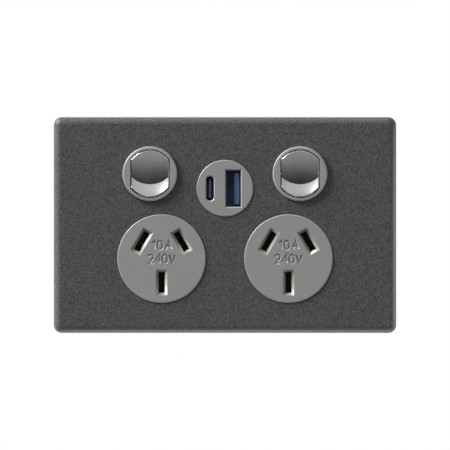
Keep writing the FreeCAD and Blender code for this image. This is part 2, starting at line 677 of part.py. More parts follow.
for sx in (-1, 1):
    for sz in (-1, 1):
        bores.circle(sx * boss_x, sz * boss_z, case_screw_r + screw_gap)
pocket(case, "screw_bores", bores, case_deep + 2)
bores = Drawing(case, "case_screw_heads", level=-case_deep + case_head_tall + case_head_sink)
for sx in (-1, 1):
    for sz in (-1, 1):
        bores.circle(sx * boss_x, sz * boss_z, case_head_r + screw_gap)
pocket(case, "head_bores", bores, case_head_tall + 1)
for name, x, z, way, front in terminals:
    entry = Drawing(case, name + "_entry", "top", level=way * (case_tall / 2) + (1 if way > 0 else case_wall + 0.5))
    entry.circle(x, -wire_out, wire_r + entry_gap)
    pocket(case, name + "_wire_entry", entry, case_wall + 1.5)

# Case screws, driven from the rear into the frame
screws = new_body("case_screws", many=True)
shanks = Drawing(screws, "shank_outlines", level=-case_deep + case_head_tall + case_head_sink)
heads = Drawing(screws, "head_outlines", level=-case_deep + case_head_sink)
slots = Drawing(screws, "driver_slots", level=-case_deep + case_head_sink + case_head_tall / 2)
for sx in (-1, 1):
    for sz in (-1, 1):
        shanks.circle(sx * boss_x, sz * boss_z, case_screw_r)
        heads.circle(sx * boss_x, sz * boss_z, case_head_r)
        slots.middle_box(sx * boss_x, sz * boss_z, 2 * case_head_r + cut_over, case_driver_slot)
pad(screws, "shanks", shanks, case_deep - case_head_tall - 0.3 + frame_thick - 0.3)
pad(screws, "heads", heads, case_head_tall)
pocket(screws, "driver_cuts", slots, case_head_tall)

# Socket faces: round discs with three bevelled slots and a spigot behind
for side, sign in SIDES:
    cx = sign * socket_x
    face = new_body("socket_face_" + side)
    disc = Drawing(face, "disc_outline", level=deck_out).circle(cx, socket_z, socket_r)
    pad(face, "disc", disc, socket_out - deck_out)
    dress(face, "Fillet", "disc_rim", lambda e: is_flat_at(e, socket_out), rim_round)
    spigot = Drawing(face, "spigot_outline", level=deck_out - deck_skin).circle(cx, socket_z, spigot_r)
    pad(face, "spigot", spigot, deck_skin)
    hollow = Drawing(face, "hollow_outline", level=socket_out - socket_skin)
    hollow.circle(cx, socket_z, spigot_r - spigot_wall)
    pocket(face, "hollow", hollow, socket_out)
    for pin, px, pz, lean in pin_places(sign):
        slot = Drawing(face, pin + "_slot", level=socket_out + 1, at=(px, pz), turn=lean)
        slot.middle_box(0, 0, slot_wide, slot_long)
        pocket(face, pin + "_cut", slot, socket_skin + 2)

    def is_slot_mouth(edge):
        return is_flat_at(edge, socket_out) and far_from(edge, cx, socket_z) < socket_r.value - 1

    dress(face, "Chamfer", "slot_bevels", is_slot_mouth, slot_bevel)


def clip(body, name, px, pz, lean, strip_front):
    """Two spring leaves on a foot that take one plug pin."""
    half = clip_gap / 2 + clip_leaf
    foot = Drawing(body, name + "_foot_outline", level=strip_front - strip_thick, at=(px, pz), turn=lean)
    foot.box(-half, half, -clip_long / 2, clip_long / 2)
    pad(body, name + "_foot", foot, strip_thick)
    leaves = Drawing(body, name + "_leaf_outlines", level=strip_front - strip_thick / 2, at=(px, pz), turn=lean)
    leaves.box(-half, -clip_gap / 2, -clip_long / 2, clip_long / 2)
    leaves.box(clip_gap / 2, half, -clip_long / 2, clip_long / 2)
    pad(body, name + "_leaves", leaves, clip_out - strip_front + strip_thick / 2)


# Neutral strip with a clip for each socket and a tail to its terminal
neutral = new_body("neutral_bar")
left_pin = pin_places(-1)[1]
right_pin = pin_places(1)[1]
tail_x = neutral_x + block_wide / 2
strip = Drawing(neutral, "strip_outline", level=strip_out - strip_thick)
low = neutral_z - neutral_tall / 2
high = neutral_z + neutral_tall / 2
left_x = left_pin[1]
right_x = right_pin[1]
half = riser_wide / 2
strip.polygon([
    (left_x - half, low),
    (tail_x, low),
    (tail_x, high),
    (right_x + half, high),
    (right_x + half, right_pin[2]),
    (right_x - half, right_pin[2]),
    (right_x - half, high),
    (left_x + half, high),
    (left_x + half, left_pin[2]),
    (left_x - half, left_pin[2]),
])
pad(neutral, "strip", strip, strip_thick)
for pin in (left_pin, right_pin):
    clip(neutral, "clip", pin[1], pin[2], pin[3], strip_out)
tail = Drawing(neutral, "tail_outline", level=terminals[2][4])
tail.box(tail_x - strip_thick, tail_x, low, high)
pad(neutral, "tail", tail, strip_out - strip_thick / 2 - terminals[2][4])

# Earth strip with a clip under each socket
earth = new_body("earth_bar")
strip = Drawing(earth, "strip_outline", level=earth_out - strip_thick)
strip.middle_box(0, earth_z, 2 * socket_x + 6, earth_tall)
pad(earth, "strip", strip, strip_thick)
for side, sign in SIDES:
    pin = pin_places(sign)[2]
    clip(earth, "clip", pin[1], pin[2], pin[3], earth_out)

# Switched strips from each active clip up to the contact under its lever
contact_mid = contact_z - contact_drop
contact_low = contact_mid - contact_tall / 2
contact_high = contact_mid + contact_tall / 2
for side, sign in SIDES:
    link = new_body("switched_contact_" + side)
    pin = pin_places(sign)[0]
    clip(link, "clip", pin[1], pin[2], pin[3], strip_out)
    inner = sign * (link_x - riser_wide / 2)
    outer = sign * (link_x + riser_wide / 2)
    strip = Drawing(link, "strip_outline", level=strip_out - strip_thick)
    strip_top = pin[2] + 1.5
    under = strip_top + riser_wide
    foot_end = sign * (switch_x + lever_wide / 2)
    if sign < 0:
        points = [(pin[1], strip_top), (inner, strip_top), (inner, contact_high), (foot_end, contact_high)]
        points += [(foot_end, contact_low), (outer, contact_low), (outer, under), (pin[1], under)]
    else:
        points = [(pin[1], strip_top), (outer, strip_top), (outer, contact_low), (foot_end, contact_low)]
        points += [(foot_end, contact_high), (inner, contact_high), (inner, under), (pin[1], under)]
    strip.polygon(points)
    pad(link, "strip", strip, strip_thick)

# Unswitched active strip with the cradles that carry the levers
active = new_body("active_bar")
strip = Drawing(active, "strip_outline", level=active_out - strip_thick)
strip.middle_box(0, contact_mid, 2 * switch_x + riser_wide, contact_tall)
pad(active, "strip", strip, strip_thick)
cradle_top = lever_out - lever_gap
for side, sign in SIDES:
    mid = sign * switch_x
    tab = Drawing(active, "tab_outline", level=active_out - strip_thick)
    tab.box(mid - riser_wide / 2, mid + riser_wide / 2, switch_z - cradle_tall / 2, contact_mid)
    pad(active, "tab", tab, strip_thick)
    stand = Drawing(active, "stand_outline", level=active_out - strip_thick / 2)
    stand.middle_box(mid, switch_z, riser_wide, cradle_tall)
    pad(active, "stand", stand, cradle_top - active_out + strip_thick / 2)
    reach = lever_wide / 2 + cheek_gap + cheek_thick
    seat = Drawing(active, "seat_outline", level=cradle_top - strip_thick)
    seat.middle_box(mid, switch_z, 2 * reach, cradle_tall)
    pad(active, "seat", seat, strip_thick)
    cheeks = Drawing(active, "cheek_outlines", level=cradle_top - strip_thick / 2)
    gap = lever_wide / 2 + cheek_gap
    cheeks.middle_box(mid - gap - cheek_thick / 2, switch_z, cheek_thick, cradle_tall)
    cheeks.middle_box(mid + gap + cheek_thick / 2, switch_z, cheek_thick, cradle_tall)
    pad(active, "cheeks", cheeks, cheek_tall + strip_thick / 2)

# Fixed silver contacts on the switched strips
for side, sign in SIDES:
    anvil = new_body("fixed_contact_" + side)
    tip = Drawing(anvil, "anvil_outline", level=strip_out).circle(sign * switch_x, contact_mid, rivet_r)
    pad(anvil, "anvil", tip, anvil_tall)

# Contact levers: bent strips that rock on the cradles, with a silver contact on the upper arm
for side, sign in SIDES:
    lever = new_body("contact_lever_" + side)
    profile = Drawing(lever, "lever_profile", "side", level=-lever_wide / 2)
    profile.polygon([
        (0, 0),
        (-lever_rise, lever_arm),
        (-lever_rise - lever_thick, lever_arm),
        (-lever_thick, 0),
        (-lever_rise - lever_thick, -lever_arm),
        (-lever_rise, -lever_arm),
    ])
    pad(lever, "strip", profile, lever_wide)
    place(lever, sign * switch_x, lever_out, switch_z, angle=lever_tilt)
    moving = new_body("moving_contact_" + side)
    slope = lever_rise / lever_arm
    stud = Drawing(moving, "stud_outline", "front", level=slope * rivet_at - rivet_tall)
    stud.circle(0, rivet_at, rivet_r)
    pad(moving, "stud", stud, rivet_tall + rivet_r * slope)
    trim = Drawing(moving, "trim_outline", "side", level=rivet_r + 1)
    trim.polygon([(0, 0), (-lever_rise, lever_arm), (-lever_rise - 4, lever_arm), (-4, 0)])
    pocket(moving, "stud_trim", trim, 2 * rivet_r + 2)
    place(moving, sign * switch_x, lever_out, switch_z, angle=lever_tilt)

# Switch bezels: round collars with a bowl for the rocker and bores for its pins
bowl = rocker_r + rocker_air
for side, sign in SIDES:
    mid = sign * switch_x
    bezel = new_body("switch_bezel_" + side)
    collar = Drawing(bezel, "collar_outline", level=frame_thick).circle(mid, switch_z, bezel_r)
    pad(bezel, "collar", collar, bezel_out - frame_thick)
    ball(bezel, "Groove", "bowl", bowl, mid, pivot_out, switch_z)
    sides = Drawing(bezel, "side_outlines", level=frame_thick)
    flat = rocker_flat + rocker_side
    chord = root(bezel_r * bezel_r - flat * flat) + 0.5
    sides.box(mid - bezel_r - 0.5, mid - flat, switch_z - chord, switch_z + chord)
    sides.box(mid + flat, mid + bezel_r + 0.5, switch_z - chord, switch_z + chord)
    pad(bezel, "sides", sides, bezel_out - frame_thick)
    ring = Drawing(bezel, "trim_outline", level=bezel_out + 1)
    ring.circle(mid, switch_z, bezel_r + 3)
    ring.circle(mid, switch_z, bezel_r)
    pocket(bezel, "round_trim", ring, bezel_out)
    bore = Drawing(bezel, "pin_bore_outline", "side", level=mid + trunnion_end + 0.2)
    bore.circle(-pivot_out, switch_z, trunnion_r + trunnion_gap)
    pocket(bezel, "pin_bores", bore, 2 * trunnion_end + 0.4)

    def is_outer_rim(edge):
        return is_flat_at(edge, bezel_out) and near(far_from(edge, mid, switch_z), bezel_r, 0.1)

    dress(bezel, "Fillet", "collar_rim", is_outer_rim, bezel_rim)

# Rockers: a ball-shaped outside between two flat sides, on two pins, with a rear stem.
# The face is drawn as it stands when its top is pressed in. Its upper part is a level crown that
# turns down towards the middle, and its lower part is a round hollow that looks up. They meet in
# an arc that is lowest at the middle.
face_high = root(rocker_r * rocker_r - rocker_face * rocker_face)
dish_out = dish_floor + dish_r
dish_axis = dish_out * cosine(rocker_tilt) + dish_up * sine(rocker_tilt)
dish_side = dish_up * cosine(rocker_tilt) - dish_out * sine(rocker_tilt)
for side, sign in SIDES:
    rocker = new_body("rocker_" + side)
    blank = Drawing(rocker, "blank_outline", "side", level=-rocker_flat)
    blank.box(-rocker_r, rocker_rear, -rocker_r, rocker_r)
    pad(rocker, "blank", blank, 2 * rocker_flat)
    ball(rocker, "Groove", "lower_hollow", dish_r, 0, dish_axis, dish_side)
    crown = Drawing(rocker, "crown_outline", "side", level=-rocker_flat, turn=rocker_tilt)
    crown.crowned_block(-rocker_face, -dish_floor / 2, face_high, -crown_low, crown_r)
    pad(rocker, "crown", crown, 2 * rocker_flat)
    around = Drawing(rocker, "outside_outline", "side").outside_half_disc(rocker_r, 2 * rocker_r)
    trim = rocker.newObject("PartDesign::Groove", "outside_trim")
    trim.Profile = around.sketch
    trim.ReferenceAxis = (around.sketch, ["H_Axis"])
    trim.Angle = 360

    def is_face_rim(edge):
        x, out, z = middle(edge)
        on_side = near(abs(x), rocker_flat) and out > 0.5 - rocker_rear.value
        on_ball = near(math.sqrt(x * x + out * out + z * z), rocker_r) and out > 0.5 - rocker_rear.value
        return on_side or on_ball

    dress(rocker, "Fillet", "soft_edges", is_face_rim, rocker_soft)
    room = Drawing(rocker, "room_outline", level=-rocker_rear)
    room_x = rocker_flat - rocker_wall
    room.middle_box(0, 0, 2 * room_x, 2 * room_x + 0.4)
    inside = pocket(rocker, "room", room, room_front + rocker_rear)
    inside.Reversed = True
    stem = Drawing(rocker, "stem_outline", level=-stem_long).circle(0, 0, stem_r)
    pad(rocker, "stem", stem, stem_long + room_front + 0.5)
    bore = Drawing(rocker, "bore_outline", level=-0.9).circle(0, 0, stem_bore)
    pocket(rocker, "stem_hole", bore, stem_long)
    for way in (-1, 1):
        start = rocker_flat - 0.5 if way > 0 else -trunnion_end
        pin = Drawing(rocker, "pin_outline", "side", level=start).circle(0, 0, trunnion_r)
        pad(rocker, "pin", pin, trunnion_end - rocker_flat + 0.5)
    place(rocker, sign * switch_x, pivot_out, switch_z, angle=-rocker_tilt)

    plunger = new_body("plunger_" + side)
    rod = Drawing(plunger, "rod_outline", level=-plunger_tip).circle(0, 0, plunger_r)
    pad(plunger, "rod", rod, plunger_tip - plunger_back)
    dress(plunger, "Fillet", "tip", lambda e: is_flat_at(e, -plunger_tip), plunger_round)
    place(plunger, sign * switch_x, pivot_out, switch_z, angle=-rocker_tilt)

    spring = new_body("plunger_spring_" + side)
    wire = Drawing(spring, "wire_outline", "top").circle(coil_r, 1.2, coil_wire)
    coil = spring.newObject("PartDesign::AdditiveHelix", "coil")
    coil.Profile = wire.sketch
    coil.ReferenceAxis = (wire.sketch, ["V_Axis"])
    coil.Mode = "height-turns-growth"
    tie(coil, "Height", plunger_back - 1.5)
    tie(coil, "Turns", coil_turns)
    place(spring, sign * switch_x, pivot_out, switch_z, angle=-rocker_tilt)

# Terminal blocks with a wire tunnel and a threaded hole for the clamp screw
for name, x, z, way, front in terminals:
    block = new_body("terminal_" + name)
    body = Drawing(block, "block_outline", level=block_rear).middle_box(x, z, block_wide, block_wide)
    pad(block, "block", body, front - block_rear)
    dress(block, "Fillet", "soft_edges", runs_along_y, 0.5)
    tunnel = Drawing(block, "tunnel_outline", "top", level=z + block_wide / 2 + 1)
    tunnel.circle(x, -wire_out, wire_r)
    pocket(block, "tunnel", tunnel, block_wide + 2)
    thread = Drawing(block, "thread_outline", level=wire_out).circle(x, z, clamp_r + screw_gap / 2)
    pocket(block, "thread", thread, wire_out - block_rear + 1)

clamps = new_body("terminal_screws", many=True)
shanks = Drawing(clamps, "shank_outlines", level=block_rear - clamp_sink)
heads = Drawing(clamps, "head_outlines", level=block_rear - clamp_sink - clamp_head_tall)
slots = Drawing(clamps, "driver_slots", level=block_rear - clamp_sink - clamp_head_tall + cut_over)
for name, x, z, way, front in terminals:
    shanks.circle(x, z, clamp_r)
    heads.circle(x, z, clamp_head_r)
    slots.middle_box(x, z, 2 * clamp_head_r + cut_over, driver_slot)
pad(clamps, "shanks", shanks, wire_out - wire_r - block_rear + clamp_sink)
pad(clamps, "heads", heads, clamp_head_tall)
pocket(clamps, "driver_cuts", slots, clamp_head_tall)

# Charger face: a round disc with a tall window and a small obround one
usb = new_body("usb_face")
pad(usb, "disc", Drawing(usb, "disc_outline", level=deck_out).circle(0, usb_z, usb_r), usb_out - deck_out)
dress(usb, "Fillet", "disc_rim", lambda e: is_flat_at(e, usb_out), rim_round)
room = Drawing(usb, "room_outline", level=usb_out - usb_skin).circle(0, usb_z, usb_r - usb_rim)
pocket(usb, "room", room, usb_out)
window = Drawing(usb, "large_window", level=usb_out + cut_over)
window.middle_box(a_x, port_z, a_wide + 2 * window_gap, a_tall + 4 * window_gap)
pocket(usb, "large_cut", window, usb_skin + 2 * cut_over)
window = Drawing(usb, "small_window", level=usb_out + cut_over, at=(c_x, port_z))
window.obround(c_wide + window_gap, c_tall + 3 * window_gap)
pocket(usb, "small_cut", window, usb_skin + 2 * cut_over)


def is_window_mouth(edge):
    return is_flat_at(edge, usb_out) and far_from(edge, 0, usb_z) < usb_r.value - 1


dress(usb, "Chamfer", "window_bevels", is_window_mouth, window_bevel)

# Large port: sheet shell, tongue with its foot on the board, four contacts
mouth = usb_out - usb_skin
shell = new_body("usb_a_shell")
outer = Drawing(shell, "outer_outline", level=mouth - a_long)
outer.middle_box(a_x, port_z, a_wide + 2 * shell_thick, a_tall + 2 * shell_thick)
pad(shell, "block", outer, a_long)
inner = Drawing(shell, "inner_outline", level=mouth + cut_over).middle_box(a_x, port_z, a_wide, a_tall)
pocket(shell, "hollow", inner, a_long + 2 * cut_over)

tongue = new_body("usb_a_tongue")
base = Drawing(tongue, "base_outline", level=mouth - a_long - base_behind)
base_half = a_wide / 2 - base_inset
base_low = port_z - a_tall / 2 + base_inset
base_high = port_z + a_tall / 2 - base_inset
base.box(a_x - base_half, a_x + base_half, base_low, base_high)
pad(tongue, "base", base, a_base_long)
foot = Drawing(tongue, "foot_outline", level=mouth - a_long - base_behind)
foot.box(board_x + board_thick / 2, a_x, base_low, base_high)
pad(tongue, "foot", foot, foot_long)
blade = Drawing(tongue, "blade_outline", level=mouth - a_long)
blade.middle_box(tongue_x, port_z, tongue_thick, tongue_tall)
pad(tongue, "blade", blade, a_long - tongue_in)
dress(tongue, "Fillet", "blade_end", lambda e: is_flat_at(e, mouth - tongue_in), blade_round)

strips = new_body("usb_a_contacts", many=True)
outline = Drawing(strips, "strip_outlines", level=mouth - a_long + a_base_long - base_behind)
left = tongue_x - tongue_thick / 2
for step in (-a_pitch_far, -a_pitch_near, a_pitch_near, a_pitch_far):
    outline.box(left - strip_proud, left, port_z + step - a_strip_half, port_z + step + a_strip_half)
pad(strips, "strips", outline, a_long - tongue_in - a_base_long)

# Small port: round-ended sheet shell, thin tongue, two rows of twelve contacts
shell = new_body("usb_c_shell")
outer = Drawing(shell, "outer_outline", level=mouth - c_long, at=(c_x, port_z))
outer.obround(c_wide + 2 * shell_thick, c_tall + 2 * shell_thick)
pad(shell, "block", outer, c_long)
inner = Drawing(shell, "inner_outline", level=mouth + cut_over, at=(c_x, port_z))
inner.obround(c_wide, c_tall)
pocket(shell, "hollow", inner, c_long + 2 * cut_over)

tongue = new_body("usb_c_tongue")
base = Drawing(tongue, "base_outline", level=mouth - c_long - base_behind)
base.middle_box(c_x, port_z, c_wide - 2 * base_inset, c_tall - c_wide)
pad(tongue, "base", base, c_base_long)
foot = Drawing(tongue, "foot_outline", level=mouth - c_long - base_behind)
foot.box(c_x, board_x - board_thick / 2, port_z - c_tall / 2 + 0.6, port_z + c_tall / 2 - 0.6)
pad(tongue, "foot", foot, foot_long)
blade = Drawing(tongue, "blade_outline", level=mouth - c_long)
blade.middle_box(c_x, port_z, thin_tongue, thin_tongue_tall)
pad(tongue, "blade", blade, c_long - tongue_in)

strips = new_body("usb_c_contacts", many=True)
outline = Drawing(strips, "strip_outlines", level=mouth - c_long + c_base_long - base_behind)
for count in range(12):
    strip_low = port_z + (count - 5.5) * c_pitch - c_strip_half
    strip_high = strip_low + 2 * c_strip_half
    outline.box(c_x - thin_tongue / 2 - c_strip_proud, c_x - thin_tongue / 2, strip_low, strip_high)
    outline.box(c_x + thin_tongue / 2, c_x + thin_tongue / 2 + c_strip_proud, strip_low, strip_high)
pad(strips, "strips", outline, c_long - tongue_in - 2.6)

# Circuit board and the parts soldered to it
board = new_body("usb_board")
edge = Drawing(board, "board_outline", "side", level=board_x - board_thick / 2)
edge.box(-board_front, -board_rear, board_low, board_high)
pad(board, "board", edge, board_thick)
right_face = board_x + board_thick / 2
left_face = board_x - board_thick / 2

core = new_body("transformer_core")
outline = Drawing(core, "core_outline", "side", level=coil_x - core_thick / 2)
outline.middle_box(-coil_out, coil_z, core_deep, core_tall)
outline.box(-coil_out - core_room, -coil_out + core_room, coil_z - room_half, coil_z - limb_half)
outline.box(-coil_out - core_room, -coil_out + core_room, coil_z + limb_half, coil_z + room_half)
pad(core, "core", outline, core_thick)

winding = new_body("transformer_winding")
outline = Drawing(winding, "winding_outline", "front", level=coil_out - winding_deep / 2)
outline.box(right_face, coil_x + winding_end, coil_z - winding_half, coil_z + winding_half)
hole_x = core_thick / 2 + coil_gap
hole_z = limb_half + coil_gap
outline.box(coil_x - hole_x, coil_x + hole_x, coil_z - hole_z, coil_z + hole_z)
pad(winding, "winding", outline, winding_deep)


def can(name, z, out, radius, tall):
    """A round capacitor that stands on the left face of the board."""
    body = new_body(name)
    outline = Drawing(body, "can_outline", "side", level=left_face - tall).circle(-out, z, radius)
    pad(body, "can", outline, tall)
    dress(body, "Fillet", "can_edge", lambda e: abs(middle(e)[0] - (left_face - tall).value) < 0.01, can_round)


def chip(name, face, way, z, out, tall, wide, thick):
    """A flat black package on one face of the board."""
    body = new_body(name)
    start = face if way > 0 else face - thick
    outline = Drawing(body, "chip_outline", "side", level=start).middle_box(-out, z, wide, tall)
    pad(body, "chip", outline, thick)


can("input_capacitor", input_can_z, input_can_out, input_can_r, input_can_tall)
can("output_capacitor_a", output_can_a_z, output_can_out, output_can_r, output_can_tall)
can("output_capacitor_c", output_can_c_z, output_can_out, output_can_r, output_can_tall)
chip("controller_chip", left_face, -1, controller_z, controller_out, chip_side, chip_side, controller_thick)
chip("rectifier_chip", right_face, 1, rectifier_z, rectifier_out, chip_side, chip_side, rectifier_thick)

resistor = new_body("fuse_resistor")
outline = Drawing(resistor, "body_outline", "top", level=board_low + 1).circle(right_face + resistor_cap_r, -resistor_out, resistor_r)
pad(resistor, "barrel", outline, 6.5)
outline = Drawing(resistor, "cap_outlines", "top", level=board_low + 1).circle(right_face + resistor_cap_r, -resistor_out, resistor_cap_r)
pad(resistor, "lower_cap", outline, 1)

pin = new_body("feed_pin_active")
level = active_out - strip_thick
outline = Drawing(pin, "pin_outline", level=level).box(board_x - 0.4, board_x + 0.4, board_high, contact_low)
pad(pin, "pin", outline, strip_thick)
pin = new_body("feed_pin_neutral")
level = strip_out - strip_thick
outline = Drawing(pin, "pin_outline", level=level).box(board_x - 0.4, board_x + 0.4, high, board_low)
pad(pin, "pin", outline, strip_thick)

doc.recompute()

# Every object must be sound before anything is written
for thing in doc.Objects:
    if "Invalid" in thing.State or "Error" in thing.State:
        raise ValueError("not rebuilt: " + thing.Name + " in " + str([p.Name for p in thing.InList]))
os.makedirs("parts", exist_ok=True)
for body in nodes:
    shape = body.Shape
    if shape.isNull() or not shape.isValid() or not shape.Solids:
        raise ValueError("no sound solid in " + body.Label)
    shape.exportStep("parts/" + body.Label + ".step")
    print(body.Label, len(shape.Solids), round(shape.Volume, 1))
print(len(nodes), "nodes written")
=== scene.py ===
# %% [markdown]
# # A double wall socket with switches and a charger
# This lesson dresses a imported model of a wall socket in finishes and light.
# The model comes in as a fixed frame of named pieces, and everything added here moves with it.
# Sizes are in metres; the front faces -Y, +Z is up and the wall is the plane y = 0.

# %% load the frame
import math

import bmesh
import bpy
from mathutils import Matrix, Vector
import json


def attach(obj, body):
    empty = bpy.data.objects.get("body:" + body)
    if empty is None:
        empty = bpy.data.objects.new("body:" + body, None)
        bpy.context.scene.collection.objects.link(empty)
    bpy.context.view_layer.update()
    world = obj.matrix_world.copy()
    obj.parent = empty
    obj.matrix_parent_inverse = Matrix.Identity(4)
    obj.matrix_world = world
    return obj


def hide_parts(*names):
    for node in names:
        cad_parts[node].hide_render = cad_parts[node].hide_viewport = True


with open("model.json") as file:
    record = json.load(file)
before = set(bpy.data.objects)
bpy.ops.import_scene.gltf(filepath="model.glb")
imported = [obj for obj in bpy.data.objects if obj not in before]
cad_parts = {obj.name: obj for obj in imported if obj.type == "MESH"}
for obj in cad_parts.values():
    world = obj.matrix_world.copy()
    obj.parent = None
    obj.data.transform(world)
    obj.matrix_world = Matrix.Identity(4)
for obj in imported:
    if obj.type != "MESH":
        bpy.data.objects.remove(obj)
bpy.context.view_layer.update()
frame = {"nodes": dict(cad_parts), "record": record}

MM = 0.001
nodes = frame["nodes"]

# %% [markdown]
# ## Colours
# Photographs give colours on a 0 to 255 scale that is bent for screens.
# A renderer works with straight light values, so each colour is unbent first.
# Every finish below is named by the colour that it should show on screen.

# %% colour helper


def unbend(value):
    """One screen value, 0 to 255, as straight light, 0 to 1. This is the usual curve of screens."""
    value = value / 255
    if value <= 0.04045:
        return value / 12.92
    return ((value + 0.055) / 1.055) ** 2.4


def screen(red, green, blue):
    """A screen colour as straight light values."""
    return (unbend(red), unbend(green), unbend(blue), 1)


print("anthracite", [round(value, 3) for value in screen(75, 74, 75)])

# %% [markdown]
# ## Shader nodes
# Finishes and sky are both small networks of nodes, which could be joined by hand one link at a time.
# Four helpers keep the networks short here: one adds any node, and the others are the three steps
# that come up again and again, which are to rescale a value, to combine two, and to scale a colour.

# %% node helpers


def add_node(tree, kind, inputs, operation=None):
    """A node in a network. Each input takes a plain value or the output of another node."""
    node = tree.nodes.new("ShaderNode" + kind)
    if operation:
        node.operation = operation
    for key, value in inputs.items():
        if isinstance(value, bpy.types.NodeSocket):
            tree.links.new(value, node.inputs[key])
        else:
            node.inputs[key].default_value = value
    return node


def rescale(tree, value, span, result=(0, 1)):
    """Turns the way through a span into the same way through the result, and stops at its ends."""
    inputs = {"Value": value, "From Min": span[0], "From Max": span[1],
              "To Min": result[0], "To Max": result[1]}
    return add_node(tree, "MapRange", inputs).outputs["Result"]


def combine(tree, operation, first, second):
    """Two values made into one, such as by MULTIPLY or MAXIMUM."""
    return add_node(tree, "Math", {0: first, 1: second}, operation).outputs["Value"]


def scaled(tree, colour, factor):
    """A colour made darker or brighter by a factor."""
    return add_node(tree, "VectorMath", {0: colour, "Scale": factor}, "SCALE").outputs["Vector"]


# %% [markdown]
# ## A finish builder
# Moulded plastic is never one flat tone: its sheen changes a little from place to place,
# and its surface has the fine texture of the spark-eroded mould.
# A picture of plastic could be wrapped round each piece, but it would stretch and show its seams.
# So each finish is a small network: cloudy noise varies the colour and the sheen, fine noise adds
# a speckle, and more noise lifts the surface. All noise is laid out in real metres.

# %% finish builder
CLOUD_MM = 6
CLOUD_DETAIL = 3
GRAIN_DETAIL = 1
BUMP_DETAIL = 2
NOISE_SPAN = (0.3, 0.7)  # nearly all of the noise lies between these values
SHEEN_SPAN = (0.9, 1.1)  # how far the clouds take the roughness down and up
COAT_ROUGH = 0.12


def finish(name, colour, rough, metal=0.0, cloud=0.04, grain=0.0, grain_mm=0.3,
           bump_mm=0.0, bump_size_mm=0.3, coat=0.0, spec=0.5, stretch=(1, 1, 1)):
    """A procedural material: cloud varies tone and sheen, grain adds speckle, bump lifts the surface."""
    material = bpy.data.materials.new(name)
    material.use_nodes = True
    tree = material.node_tree
    shader = tree.nodes["Principled BSDF"]
    for socket, value in (("Metallic", metal), ("Coat Weight", coat), ("Coat Roughness", COAT_ROUGH),
                          ("Specular IOR Level", spec)):
        shader.inputs[socket].default_value = value
    place = add_node(tree, "TexCoord", {}).outputs["Object"]
    laid = add_node(tree, "Mapping", {"Vector": place, "Scale": stretch}).outputs["Vector"]

    def noise(size_mm, detail):
        inputs = {"Vector": laid, "Scale": 1 / (size_mm * MM), "Detail": detail}
        return add_node(tree, "TexNoise", inputs).outputs["Fac"]

    clouds = noise(CLOUD_MM, CLOUD_DETAIL)
    tone = rescale(tree, clouds, NOISE_SPAN, (1 - cloud, 1 + cloud))
    if grain:
        speckle = rescale(tree, noise(grain_mm, GRAIN_DETAIL), NOISE_SPAN, (1 - grain, 1 + grain))
        tone = combine(tree, "MULTIPLY", tone, speckle)
    tree.links.new(scaled(tree, colour[:3], tone), shader.inputs["Base Color"])
    sheen = rescale(tree, clouds, NOISE_SPAN, (rough * SHEEN_SPAN[0], rough * SHEEN_SPAN[1]))
    tree.links.new(sheen, shader.inputs["Roughness"])
    if bump_mm:
        inputs = {"Strength": 1, "Distance": bump_mm * MM, "Height": noise(bump_size_mm, BUMP_DETAIL)}
        lift = add_node(tree, "Bump", inputs)
        tree.links.new(lift.outputs["Normal"], shader.inputs["Normal"])
    return material


def paint(piece, material):
    piece.data.materials.clear()
    piece.data.materials.append(material)


# %% [markdown]
# ## The plastics
# The real cover is a dark anthracite with a fine metallic speckle.
# Small flakes of metal could be scattered over it, but at this size a strong fine grain
# in the tone, over a fine bump, looks much the same and is far lighter.
# The round faces and bezels are a mid grey satin. The rockers are a paler, glossier metallic grey,
# so they are made as a metal: their shading then comes from what they mirror.
# The frame and its housing, the plungers, the tongues of the ports and the two chips are plain.

# %% plastics
# Each look is a screen colour, a roughness, and what else the finish builder is to change
LOOKS = {
    "anthracite_cover": ((75, 74, 75), 0.5, dict(cloud=0.02, grain=0.5, grain_mm=0.4, bump_mm=0.02,
                                                 bump_size_mm=0.5, spec=0.35)),
    "grey_plastic": ((143, 143, 142), 0.36, dict(cloud=0.015, grain=0.02, grain_mm=0.3, bump_mm=0.002,
                                                 bump_size_mm=0.25)),
    "rocker_plastic": ((214, 214, 213), 0.27, dict(metal=1, cloud=0.02, grain=0.02, bump_mm=0.0003,
                                                   bump_size_mm=0.5)),
    "frame_plastic": ((150, 150, 148), 0.55, dict(cloud=0.03, bump_mm=0.003, bump_size_mm=0.4)),
    "white_plastic": ((225, 224, 220), 0.4, dict(cloud=0.02, bump_mm=0.002)),
    "blue_plastic": ((80, 120, 168), 0.35, dict(cloud=0.03, bump_mm=0.001)),
    "black_plastic": ((40, 42, 44), 0.45, dict(cloud=0.05, bump_mm=0.002)),
}
print(len(LOOKS), "plastics")

# %% [markdown]
# ## The metals and the charger's parts
# The bars, clips and terminals are brass with silver contacts. The screws, springs and port shells
# are steel, and the contacts in the ports are gilt. The charger has a green board and its parts.
# Brass and steel are rolled or drawn, so their clouds are stretched along one way,
# and the board and the sleeves of the capacitors have a clear coat.
# Plain colours would do for parts that are hardly seen, but the same builder serves for all.

